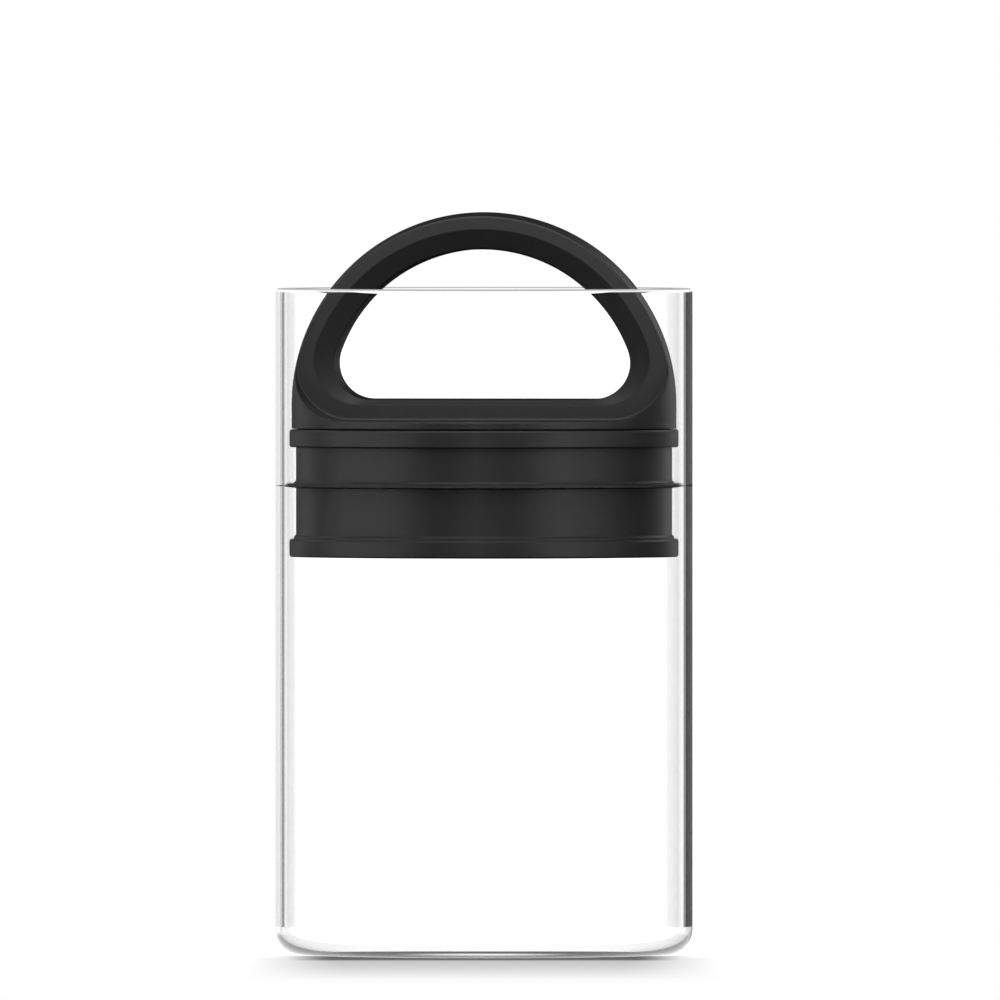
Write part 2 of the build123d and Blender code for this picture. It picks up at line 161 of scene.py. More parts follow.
def spread(length, inner):
    """Shares from 0 to 1 of a run: close together near both ends, even between.

    The near points stand at fixed distances from the ends, which shrink together where the run
    is short. length may be an array, with one row of shares for each of its values.
    """
    ends = np.array([0, 0.05, 0.11, 0.18, 0.27, 0.4, 0.6, 0.9])
    shortest = 2.6 * ends[-1]
    length = np.asarray(length, float)[..., None]
    near = ends * np.minimum(1, length / shortest)
    t = np.linspace(0, 1, inner + 2)[1:-1]
    middle = near[..., -1:] + (length - 2 * near[..., -1:]) * t
    places = np.concatenate([near, middle, (length - near)[..., ::-1]], axis=-1)
    return places / np.maximum(length, 1e-9)


# Shader helpers


def new_material(name):
    """An empty material, its node tree and its output node."""
    material = bpy.data.materials.new(name)
    material.use_nodes = True
    tree = material.node_tree
    tree.nodes.clear()
    output = tree.nodes.new("ShaderNodeOutputMaterial")
    return material, tree, output


def add_node(tree, kind, settings=(), **inputs):
    """A node with its properties set and its inputs set or linked, by name or, as i0, i1 and so
    on, by number."""
    node = tree.nodes.new(kind)
    for key, value in dict(settings).items():
        setattr(node, key, value)
    for key, value in inputs.items():
        by_number = key[0] == "i" and key[1:].isdigit()
        socket = node.inputs[int(key[1:]) if by_number else key.replace("_", " ")]
        if isinstance(value, bpy.types.NodeSocket):
            tree.links.new(value, socket)
        else:
            socket.default_value = value
    return node


def math_node(tree, operation, *values, clamp=False):
    """The result of a Math node."""
    inputs = {f"i{k}": value for k, value in enumerate(values)}
    settings = {"operation": operation, "use_clamp": clamp}
    return add_node(tree, "ShaderNodeMath", settings, **inputs).outputs[0]


def product(tree, first, *others):
    """All the values multiplied together."""
    for other in others:
        first = math_node(tree, "MULTIPLY", first, other)
    return first


def one_less(tree, value):
    """What is left of 1 when the value is taken away."""
    return math_node(tree, "SUBTRACT", 1.0, value)


def blend(tree, share, first, last):
    """The first value where the share is 0, the last where it is 1."""
    return add_node(tree, "ShaderNodeMix", i0=share, i2=first, i3=last).outputs[0]


def ramp(tree, value, low, high, first=0.0, last=1.0):
    """A smooth change from first to last while the value goes from low to high."""
    inputs = {"i0": value, "i1": low, "i2": high, "i3": first, "i4": last}
    settings = {"interpolation_type": "SMOOTHSTEP"}
    return add_node(tree, "ShaderNodeMapRange", settings, **inputs).outputs[0]


def grey(value):
    """A grey as a colour."""
    return (value, value, value, 1.0)


def moulded_texture():
    """Node group: the fine spark-eroded texture and soft unevenness of moulded plastic.

    Grain is the fine texture's periods per metre, and Unevenness how much the roughness varies.
    Height feeds a Bump node; Colour and Roughness are the given values, varied over the surface.
    """
    group = bpy.data.node_groups.new("moulded_texture", "ShaderNodeTree")
    face = group.interface
    for name, kind, value in (
        ("Colour", "NodeSocketColor", grey(0.02)),
        ("Roughness", "NodeSocketFloat", 0.4),
        ("Grain", "NodeSocketFloat", 6000.0),
        ("Unevenness", "NodeSocketFloat", 0.1),
    ):
        socket = face.new_socket(name, in_out="INPUT", socket_type=kind)
        socket.default_value = value
    for name, kind in (
        ("Colour", "NodeSocketColor"),
        ("Roughness", "NodeSocketFloat"),
        ("Height", "NodeSocketFloat"),
    ):
        face.new_socket(name, in_out="OUTPUT", socket_type=kind)
    given = group.nodes.new("NodeGroupInput")
    result = group.nodes.new("NodeGroupOutput")
    where = add_node(group, "ShaderNodeTexCoord").outputs["Object"]
    grain = given.outputs["Grain"]
    fine = add_node(group, "ShaderNodeTexNoise", Vector=where, Scale=grain, Detail=3.0, Roughness=0.6)
    broad = add_node(group, "ShaderNodeTexNoise", Vector=where, Scale=55.0, Detail=3.0, Roughness=0.55)
    swing = math_node(group, "SUBTRACT", broad.outputs[0], 0.5)
    share = math_node(group, "MULTIPLY_ADD", swing, given.outputs["Unevenness"], 1.0)
    rough = math_node(group, "MULTIPLY", given.outputs["Roughness"], share)
    speck = add_node(group, "ShaderNodeMapRange", i0=fine.outputs[0], i1=0.3, i2=0.7, i3=0.94, i4=1.06)
    tint = add_node(
        group,
        "ShaderNodeVectorMath",
        {"operation": "SCALE"},
        i0=given.outputs["Colour"],
        Scale=speck.outputs[0],
    )
    group.links.new(tint.outputs[0], result.inputs["Colour"])
    group.links.new(rough, result.inputs["Roughness"])
    group.links.new(fine.outputs[0], result.inputs["Height"])
    return group


TEXTURE = moulded_texture()


def painted_light_mask(tree):
    """A mask of the upright faces between the handle's two sides, where a lighter tone is painted on as
    light that they catch.
    """
    nearly_flat, flat, margin = 0.97, 0.999, 0.3
    place = add_node(tree, "ShaderNodeTexCoord")
    normal = add_node(tree, "ShaderNodeSeparateXYZ", Vector=place.outputs["Normal"])
    where = add_node(tree, "ShaderNodeSeparateXYZ", Vector=place.outputs["Object"])
    upright = math_node(tree, "ABSOLUTE", normal.outputs["Y"])
    upright = add_node(tree, "ShaderNodeMapRange", i0=upright, i1=nearly_flat, i2=flat)
    depth = math_node(tree, "ABSOLUTE", where.outputs["Y"])
    between = math_node(tree, "LESS_THAN", depth, (HALF_THICKNESS + margin) * MM)
    return product(tree, upright.outputs[0], between)


def moulded(name, colour, roughness, grain=6000.0, depth=0.001, unevenness=0.12, painted_light_colour=None):
    """A moulded plastic or rubber: the shared texture drives colour, roughness and bump.

    The grain is in periods per metre and the bump's depth in millimetres. Where a colour for the
    handle's upright faces is given, they get it: a lighter tone painted on them as extra light.
    """
    material, tree, output = new_material(name)
    if painted_light_colour is not None:
        faces = painted_light_mask(tree)
        mix = add_node(tree, "ShaderNodeMix", {"data_type": "RGBA"}, i0=faces, i6=colour, i7=painted_light_colour)
        colour = mix.outputs[2]
    texture = add_node(
        tree,
        "ShaderNodeGroup",
        {"node_tree": TEXTURE},
        Colour=colour,
        Roughness=roughness,
        Grain=grain,
        Unevenness=unevenness,
    )
    grains = texture.outputs["Height"]
    bump = add_node(tree, "ShaderNodeBump", Strength=0.3, Distance=depth * MM, Height=grains)
    principled = add_node(
        tree,
        "ShaderNodeBsdfPrincipled",
        Base_Color=texture.outputs["Colour"],
        Roughness=texture.outputs["Roughness"],
        Normal=bump.outputs[0],
    )
    tree.links.new(principled.outputs[0], output.inputs["Surface"])
    return material


def metal(name, colour, roughness, grain, stretch):
    """A turned or drawn metal: fine noise, stretched, varies the roughness and the bump."""
    material, tree, output = new_material(name)
    where = add_node(tree, "ShaderNodeTexCoord").outputs["Object"]
    lines = add_node(tree, "ShaderNodeMapping", Vector=where, Scale=stretch).outputs[0]
    noise = add_node(tree, "ShaderNodeTexNoise", Vector=lines, Scale=grain, Detail=4.0, Roughness=0.6)
    least, most = 0.7 * roughness, 1.3 * roughness
    rough = add_node(tree, "ShaderNodeMapRange", i0=noise.outputs[0], i3=least, i4=most)
    bump = add_node(tree, "ShaderNodeBump", Strength=0.2, Distance=0.01 * MM, Height=noise.outputs[0])
    principled = add_node(
        tree,
        "ShaderNodeBsdfPrincipled",
        Base_Color=colour,
        Metallic=1.0,
        Roughness=rough.outputs[0],
        Normal=bump.outputs[0],
    )
    tree.links.new(principled.outputs[0], output.inputs["Surface"])
    return material


# The rim's painted glow, an emission that stands in for light, as two depths below the rim in
# millimetres and the values at them: its strength, and its share against the glass itself
PAINTED_GLOW_STRENGTH = (0.35, 0.2, 1.0, 0.42)
PAINTED_GLOW_SHARE = (0.8, 0.55, 0.0, 0.85)
# Limits for Light Path's whole numbers, each halfway between two of them: the reflections of a
# ray that is caught in the glass, then the faces of the glass that a ray has crossed when it
# comes off the outer face, out of one wall or out of both walls
CAUGHT = 2.5
OUTER_FACE, ONE_WALL, BOTH_WALLS = 0.5, 2.5, 3.5


def clear_glass():
    """Soda-lime glass with a faint tint in its depth and an uneven polish. Its fire-polished rim has a
    painted glow, an emission that stands in for the light that the wall gathers.

    Rays that have already bounced off the lid, and shadow rays, go straight through it, so the
    lid inside is lit as evenly as the handle above the rim. So do rays that have been caught
    between the glass' own faces: they leave it after a few reflections.
    """
    material, tree, output = new_material("clear_glass")
    where = add_node(tree, "ShaderNodeTexCoord").outputs["Object"]
    height = add_node(tree, "ShaderNodeSeparateXYZ", Vector=where).outputs["Z"]
    wave = add_node(tree, "ShaderNodeTexNoise", Vector=where, Scale=28.0, Detail=1.0, Roughness=0.4)
    bump = add_node(tree, "ShaderNodeBump", Strength=0.05, Distance=0.02 * MM, Height=wave.outputs[0])
    glass = add_node(
        tree,
        "ShaderNodeBsdfPrincipled",
        Base_Color=grey(1.0),
        Roughness=0.0,
        IOR=1.5,
        Specular_Tint=grey(0.05),
        Transmission_Weight=1.0,
        Normal=bump.outputs[0],
    )

    def at_rim(low, high, first, last):
        """A smooth change from one value to another between two depths below the rim."""
        return ramp(tree, height, (JAR_HEIGHT - low) * MM, (JAR_HEIGHT - high) * MM, first, last)

    # A painted glow near the rim: an emission mixed over the glass
    strength, share = at_rim(*PAINTED_GLOW_STRENGTH), at_rim(*PAINTED_GLOW_SHARE)
    painted_rim_glow = add_node(tree, "ShaderNodeEmission", Color=grey(1.0), Strength=strength)
    glass = add_node(
        tree, "ShaderNodeMixShader", i0=share, i1=glass.outputs[0], i2=painted_rim_glow.outputs[0]
    )

    path = add_node(tree, "ShaderNodeLightPath").outputs
    outside = one_less(tree, math_node(tree, "MODULO", path["Transmission Depth"], 2.0))
    soft = math_node(tree, "SUBTRACT", path["Is Glossy Ray"], path["Is Singular Ray"], clamp=True)
    bounced = product(tree, soft, outside)
    caught = math_node(tree, "GREATER_THAN", path["Glossy Depth"], CAUGHT)
    lit = math_node(tree, "MAXIMUM", path["Is Shadow Ray"], path["Is Diffuse Ray"])
    through = math_node(tree, "MAXIMUM", math_node(tree, "MAXIMUM", bounced, lit), caught)
    clear = add_node(tree, "ShaderNodeBsdfTransparent", Color=grey(0.985))
    mix = add_node(tree, "ShaderNodeMixShader", i0=through, i1=glass.outputs[0], i2=clear.outputs[0])
    tint = add_node(tree, "ShaderNodeVolumeAbsorption", Color=(0.80, 0.84, 0.74, 1.0), Density=14.0)
    tree.links.new(mix.outputs[0], output.inputs["Surface"])
    tree.links.new(tint.outputs[0], output.inputs["Volume"])
    return material


CHARCOAL = moulded("charcoal_plastic", grey(0.021), 0.42, depth=0.0004)
# The handle's upright faces get a lighter tone, which is painted light
HANDLE = moulded("charcoal_handle", grey(0.021), 0.42, depth=0.0004, painted_light_colour=grey(0.034))
GRIP = moulded("grip_rubber", grey(0.008), 0.5, grain=4500.0, depth=0.0006)
SEAL = moulded("seal_silicone", grey(0.012), 0.38, grain=3000.0, depth=0.0004)
VALVE = moulded("valve_silicone", (0.62, 0.60, 0.56, 1.0), 0.4, grain=2500.0)
BUSH = moulded("bush_plastic", (0.72, 0.70, 0.64, 1.0), 0.38, grain=3500.0)
STEEL = metal("steel", (0.56, 0.57, 0.58, 1.0), 0.28, 900.0, (1.0, 1.0, 9.0))
BRASS = metal("brass", (0.66, 0.48, 0.20, 1.0), 0.3, 900.0, (1.0, 1.0, 9.0))
GLASS = clear_glass()

FINISHES = {
    "base_plate": CHARCOAL,
    "lower_housing": CHARCOAL,
    "upper_housing": CHARCOAL,
    "upper_collar": CHARCOAL,
    "lift_carrier": CHARCOAL,
    "guide_bush": BUSH,
    "umbrella_valve": VALVE,
    "valve_stem": STEEL,
    "stem_clip": STEEL,
    "spring_retainer": STEEL,
    "return_spring": STEEL,
    "housing_screws": STEEL,
    "handle_screws": STEEL,
    "stem_insert": BRASS,
}
for node_name, finish in FINISHES.items():
    for material_slot in frame["nodes"][node_name].material_slots:
        material_slot.material = finish


# Glass jar


def glass_jar():
    """A closed outline turned about the axis: rounded foot, straight wall, fire-polished rim."""
    outline = rounded(
        [
            (0, 0, 0),
            (JAR_RADIUS, 0, FOOT_ROUND),
            (JAR_RADIUS, JAR_HEIGHT, RIM_ROUND),
            (JAR_BORE, JAR_HEIGHT, RIM_ROUND),
            (JAR_BORE, FLOOR_THICKNESS, BORE_ROUND),
            (0, FLOOR_THICKNESS, 0),
        ],
        steps=14,
        hold=0.03,
    )
    return add_mesh("jar_glass", [(turned(outline), True)], GLASS)


# Wiper seal


def wiper_seal():
    """A thin disc with its bead, whose lip thins and turns up a little against the glass."""
    bead_in, bead_out, bead, bead_round = 37.0, 38.6, 1.2, 0.25
    lip = JAR_BORE + 0.03  # just into the glass, so that no gap shows
    under_from, over_from, turn_round = 43.2, 43.6, 2.0
    under_rise, over_rise, tip_back, tip_round = 0.34, 0.24, 0.05, 0.12
    outline = rounded(
        [
            (bead_in - 1, SEAL_BOTTOM, 0),
            (bead_in, SEAL_BOTTOM, 0),
            (bead_in, SEAL_BOTTOM - bead, bead_round),
            (bead_out, SEAL_BOTTOM - bead, bead_round),
            (bead_out, SEAL_BOTTOM, 0),
            (under_from, SEAL_BOTTOM, turn_round),
            (lip, SEAL_BOTTOM + under_rise, tip_round),
            (lip - tip_back, SEAL_TOP + over_rise, tip_round),
            (over_from, SEAL_TOP, turn_round),
            (bead_out, SEAL_TOP, 0),
            (bead_out, SEAL_TOP + bead, bead_round),
            (bead_in, SEAL_TOP + bead, bead_round),
            (bead_in, SEAL_TOP, 0),
            (bead_in - 1, SEAL_TOP, 0),
        ],
        steps=6,
    )
    return add_mesh("wiper_lip", [(turned(closed(outline)), True)], SEAL)


# Handle

# Points of a D's runs, then rows of the handle's faces between their close ends
COUNTS = {"floor": 37, "corner": 25, "arc": 121}
ROWS = {"face": 6, "trough": 14, "skin": 14, "skirt": 4, "tunnel": 12}
# Rounds of the handle's edges, in millimetres
TROUGH_EDGE, DOME_EDGE, SEAT_EDGE, LOW_EDGE = 0.5, 0.4, 0.08, 0.35


def round_max(a, b, size):
    """The larger of two distances, with their common edge rounded: an intersection's edge."""
    both = np.hypot(np.maximum(size + a, 0), np.maximum(size + b, 0))
    return np.minimum(-size, np.maximum(a, b)) + both


def arc_points(centre, radius, first, last, count):
    """Points of an arc in the upright plane, from one angle to another."""
    angle = np.linspace(first, last, count)
    return np.stack([centre[0] + radius * np.cos(angle), centre[1] + radius * np.sin(angle)], axis=-1)


def run(start, end, count):
    """Evenly spaced points of a straight run."""
    t = np.linspace(0, 1, count)[:, None]
    return np.array(start) * (1 - t) + np.array(end) * t


def d_corner(radius, corner, floor):
    """A D's right corner: its centre across and up, and the angle at which the arch meets it."""
    rise, reach = floor + corner - ARCH_CENTRE, radius - corner
    return math.sqrt(reach**2 - rise**2), floor + corner, math.asin(rise / reach)


def d_loop(floor, centre, corner, last, radius, first):
    """A D from its floor's left end round to itself. The corner's arc ends at the angle last,
    and the arch starts at the angle first."""
    across, middle = centre
    flat = run((-across, floor), (across, floor), COUNTS["floor"])
    right = arc_points((across, middle), corner, -math.pi / 2, last, COUNTS["corner"])
    big = arc_points((0, ARCH_CENTRE), radius, first, math.pi - first, COUNTS["arc"])
    left = right[::-1] * np.array([-1, 1])
    return np.concatenate([flat, right[1:], big[1:], left[1:-1]])


def d_outline(radius, corner, floor):
    """A D whose corners run smoothly into its arch."""
    across, middle, meet = d_corner(radius, corner, floor)
    return d_loop(floor, (across, middle), corner, meet, radius, meet)


def handle_outline():
    """The front face's outer outline: the trough's floor and corners, which cross the arch at
    a small angle, then the arch."""
    across, middle, meet = d_corner(*TROUGH)
    radius, corner, floor = TROUGH
    reach = radius - corner
    first = meet - math.acos((reach**2 + FACE_RADIUS**2 - corner**2) / (2 * reach * FACE_RADIUS))
    rise = ARCH_CENTRE + FACE_RADIUS * math.sin(first) - middle
    last = math.atan2(rise, FACE_RADIUS * math.cos(first) - across)
    return d_loop(floor, (across, middle), corner, last, FACE_RADIUS, first)


def d_distance(x, z, shape, straight=False):
    """Signed distance to a D, below zero inside. Its sides go straight up instead of round
    the arch where straight is set."""
    radius, corner, floor = shape
    across, middle, meet = d_corner(radius, corner, floor)
    aside, above = x - across, z - middle
    side = x - radius * math.cos(meet) if straight else np.hypot(x, z - ARCH_CENTRE) - radius
    in_corner = (aside > 0) & (above * math.cos(meet) < aside * math.sin(meet))
    return np.where(in_corner, np.hypot(aside, above) - corner, np.maximum(floor - z, side))


def handle_distance(p):
    """Signed distance to the handle, below zero inside, with all its edges rounded.

    It is the dome (a half ball on a cylinder) less the front and rear troughs, less the D seat
    of the liner, above the flat underside.
    """
    x, y, z = np.abs(p[..., 0]), np.abs(p[..., 1]), p[..., 2]
    dome = np.sqrt(x**2 + y**2 + np.maximum(z - ARCH_CENTRE, 0) ** 2) - DOME_RADIUS
    trough = round_max(d_distance(x, z, TROUGH, straight=True), HALF_THICKNESS - y, TROUGH_EDGE)
    body = round_max(dome, -trough, DOME_EDGE)
    body = round_max(body, -d_distance(x, z, SEAT), SEAT_EDGE)
    return round_max(body, HANDLE_BOTTOM - z, LOW_EDGE)


def settle(points, distance, steps=14):
    """Moves points onto the surface where the distance is zero, by Newton's steps along its
    slope, which is measured by central differences."""
    tiny, least_slope, longest_step = 1e-4, 0.02, 0.3
    shifts = np.eye(3) * tiny
    for _ in range(steps):
        slope = [(distance(points + s) - distance(points - s)) / (2 * tiny) for s in shifts]
        slope = np.stack(slope, axis=-1)
        size = np.maximum((slope**2).sum(-1), least_slope)
        step = (distance(points) / size)[..., None] * slope
        length = np.linalg.norm(step, axis=-1, keepdims=True)
        points = points - step * np.minimum(1, longest_step / np.maximum(length, 1e-9))
    return points


def arch_handle():
    """The handle's sharp-edged faces as grids, all then settled on the rounded shape.

    The grids are the two flat faces between the outer outline and the seat, the two troughs
    out to the dome, the dome's skin from front edge to rear edge, the low skirt under it, the
    underside and the seat's tunnel.
    """
    outline = handle_outline()
    seat = d_outline(*SEAT)
    shares = spread(np.linalg.norm(outline - seat, axis=-1), ROWS["face"]).T[..., None]
    ring = outline * (1 - shares) + seat * shares
    half = np.full(ring.shape[:2], HALF_THICKNESS)
    grids = [(np.stack([ring[..., 0], side * half, ring[..., 1]], axis=-1), True) for side in (-1, 1)]

    up = np.maximum(outline[:, 1] - ARCH_CENTRE, 0)
    reach = np.sqrt(np.maximum(DOME_RADIUS**2 - outline[:, 0] ** 2 - up**2, HALF_THICKNESS**2))
    lead = COUNTS["corner"] - 1
    low = np.arange(-lead, COUNTS["floor"] + lead)  # rows along the trough, from tip to tip
    shares = spread(reach[low] - HALF_THICKNESS, ROWS["trough"]).T
    depth = HALF_THICKNESS + (reach[low] - HALF_THICKNESS) * shares
    wide, tall = outline[low, 0] + 0 * depth, outline[low, 1] + 0 * depth
    grids += [(np.stack([wide, side * depth, tall], axis=-1), False) for side in (-1, 1)]

    crest = np.arange(COUNTS["floor"] - 1, len(outline) + 1) % len(outline)
    sweep = np.arcsin(reach[crest] / DOME_RADIUS)
    shares = spread(2 * DOME_RADIUS * sweep, ROWS["skin"]).T
    out = DOME_RADIUS * np.sin((2 * shares - 1) * sweep)
    over = np.sqrt(DOME_RADIUS**2 - out**2)
    x, rise = outline[crest, 0], outline[crest, 1] - ARCH_CENTRE
    size = np.hypot(x, rise)
    level = rise < 0
    skin_x = np.where(level, over * np.sign(x), over * x / size)
    skin_z = np.where(level, rise, over * rise / size) + ARCH_CENTRE
    skin = np.stack([skin_x, out, skin_z], axis=-1)
    grids.append((skin, False))

    right, left = skin[:, 0], skin[:, -1]
    front = np.stack([outline[:, 0], -reach, outline[:, 1]], axis=-1)[: COUNTS["floor"]]
    rear = front * np.array([1, -1, 1])
    loop = np.concatenate([front, right[1:], rear[::-1][1:], left[::-1][1:-1]])
    drop = TROUGH_FLOOR - HANDLE_BOTTOM
    low_z = HANDLE_BOTTOM + drop * spread(drop, ROWS["skirt"])[::-1]
    skirt = np.repeat(loop[None], len(low_z), axis=0)
    skirt[..., 2] = low_z[:, None]
    grids.append((skirt, True))
    shares = np.array([1, 0.999, 0.9975, 0.996, 0.994, 0.991, 0.985, 0.9, 0.6, 0.3, 0])
    inwards = shares[:, None, None]
    under = skirt[-1] * np.concatenate([inwards, inwards, 1 + 0 * inwards], axis=-1)
    grids.append((under, True))

    across = HALF_THICKNESS * (2 * spread(2 * HALF_THICKNESS, ROWS["tunnel"]) - 1)
    wide, tall = seat[:, 0] + 0 * across[:, None], seat[:, 1] + 0 * across[:, None]
    grids.append((np.stack([wide, across[:, None] + 0 * wide, tall], axis=-1), True))
    grids = [(settle(points, handle_distance), joined) for points, joined in grids]
    return add_mesh("arch_handle", grids, HANDLE)


# Liner of the handle's opening


def grip_liner():
    """A four-sided section carried along the D outline, bevelled towards the opening.

    At each place of the outline the section's corners lie on the outer and the inner D. Each
    corner is a curve between two points a little way along its sides, with the corner itself
    as its middle handle. A point a little before and after it holds the sides flat.
    """
    bevel, hidden, soft, hold = 1.3, 0.08, 0.5, 0.08
    outer, inner = d_outline(*LINER), d_outline(*OPENING)
    width = np.linalg.norm(inner - outer, axis=-1)
    face, crest = HALF_THICKNESS, HALF_THICKNESS - bevel
    corners = [(0, -face, hidden), (1, -crest, soft), (1, crest, soft), (0, face, hidden)]
    across = [np.stack([w * width, y + 0 * width], axis=-1) for w, y, _ in corners]
    t = np.linspace(0, 1, 9)[:, None, None]
    rows = []
    for k, (_, _, size) in enumerate(corners):
        following = (k + 1) % len(corners)
        here, back, ahead = across[k], across[k - 1], across[following]
        to_back = (back - here) / np.linalg.norm(back - here, axis=-1, keepdims=True)
        to_ahead = (ahead - here) / np.linalg.norm(ahead - here, axis=-1, keepdims=True)
        first, last = here + to_back * size, here + to_ahead * size
        curve = (1 - t) ** 2 * first + 2 * t * (1 - t) * here + t**2 * last
        before, after = here + to_back * (size + hold), here + to_ahead * (size + hold)
        middle = (last + ahead - to_ahead * corners[following][2]) / 2
        rows += [before[None], curve, after[None], middle[None]]
    section = closed(np.concatenate(rows))
    shares = section[..., :1] / width[:, None]
    flat = outer * (1 - shares) + inner * shares
    points = np.stack([flat[..., 0], section[..., 1], flat[..., 1]], axis=-1)
    return add_mesh("grip_liner_soft", [(points, True)], GRIP)


jar = glass_jar()
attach(jar, "jar")
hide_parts("glass_jar")

lip = wiper_seal()
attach(lip, "plunger")
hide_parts("wiper_seal")

arch = arch_handle()
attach(arch, "lift_handle")
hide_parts("handle")

liner = grip_liner()
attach(liner, "lift_handle")
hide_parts("grip_liner")


# Studio: a white floor and backdrop, soft panels and the camera

CAMERA_AZIMUTH, CAMERA_ELEVATION = 4.0, 0.635
LENS, SENSOR = 1660.0, 36.0
PICTURE, PIXEL = 1000, 1 / 4383.0  # pixels across, and metres of the object to one pixel
AIM_HEIGHT, AIM_UP, AIM_RIGHT = 0.0908, 56.4, 16.0  # metres up the axis, then pixels from there

# Painted shadows on the floor, as the distances in millimetres where each is full and where it is gone.
# The first lies in front of the jar, the second right under its foot, and the third is a painted dark
# ring that shows only in the foot's glass. The last is the reach of the matt layer that takes the
# lamps' real shadows.
SHADE_ASIDE, SHADE_FRONT, SHADE_REAR = (30, 58), (40, 320), (-45, -15)
CONTACT_ASIDE, CONTACT_FRONT, CONTACT_REAR = (34, 50), (50, 85), (-20, -8)
FOOT_INNER, FOOT_OUTER = (29, 23), (48, 52)
MATT_REACH = (70, 250)
FLOOR_SHADE, FLOOR_GREY, FOOT_SHADE, CONTACT_SHADE = 0.5, 0.06, 0.9, 0.9
FLOOR_RADII, FLOOR_DROP, FLOOR_SIDES = (0, 50, 100, 200, 300, 500), 0.1, 96

# Grey bands behind the jar, as (from, to, soft edge, level, least reflections, most), with
# angles in degrees from straight back. A band shows to rays that have been reflected that many
# times in the jar's wall, or to all of them where the two counts are 0.
BACK_BANDS = (
    (1.5, 16.0, 1.5, 0.8, 0, 0),
    (15.0, 27.0, 3.0, 0.3, 0, 0),
    (-1.0, 27.0, 3.0, 0.04, 1, 9),
    (-35.0, -28.0, 2.0, 0.1, 1, 9),
    (-28.0, -7.0, 2.0, 0.97, 1, 9),
    (-180.0, -37.0, 4.0, 0.02, 1, 1),
    (32.0, 180.0, 4.0, 0.02, 1, 1),
    (-180.0, 180.0, 4.0, 0.35, 2, 9),
)
# Degrees: where the bands end above and below, where the white overhead grows dim, and how far
# to the side the jar's outer face stops mirroring it
BAND_ENDS, DIM_FROM, MIRRORED_TO = (3.0, 6.0), (16.0, 26.0), (50.0, 66.0)
ROOM_LEVEL = 0.3  # of the white overhead
THROUGH_LEVEL = 1.3  # of the white seen through both walls, for what their faces turn away

# Upright panels all round, as (azimuth, radiance), and the values that they share: elevation,
# distance, width and height. They light everything but the glass, which would mirror them as
# bright stripes. All panels' radiances come from a fit of their light to the lid's tones.
UPRIGHT_PANELS = (
    (-150, 0.18),
    (-128, 0.82),
    (-90, 1.12),
    (-75, 0.84),
    (-60, 1.03),
    (-45, 1.05),
    (-15, 0.07),
    (0, 1.02),
    (30, 0.18),
    (45, 1.64),
    (60, 0.87),
    (75, 0.69),
    (90, 0.24),
    (128, 0.31),
    (150, 0.95),
)
UPRIGHT_FORM = (8, 0.5, 0.14, 0.6)
# Panels overhead, as (name, azimuth, radiance, elevation, distance, width, height)
HIGH_PANELS = (
    ("panel_top", 0, 0.6, 88, 0.55, 0.6, 0.4),
    ("panel_top_front", 0, 2.37, 55, 0.55, 0.5, 0.4),
    ("panel_top_left", -90, 0.35, 50, 0.55, 0.4, 0.4),
    ("panel_top_right", 90, 0.34, 50, 0.55, 0.4, 0.4),
)
PANEL_AIM = 0.125  # height in metres of the lid, which they face


def direction(azimuth, elevation):
    """The unit step from the jar at two angles in degrees. Azimuth 0 is the front, 90 the right."""
    turn, lift = math.radians(azimuth), math.radians(elevation)
    level = math.cos(lift)
    return np.array([math.sin(turn) * level, -math.cos(turn) * level, math.sin(lift)])


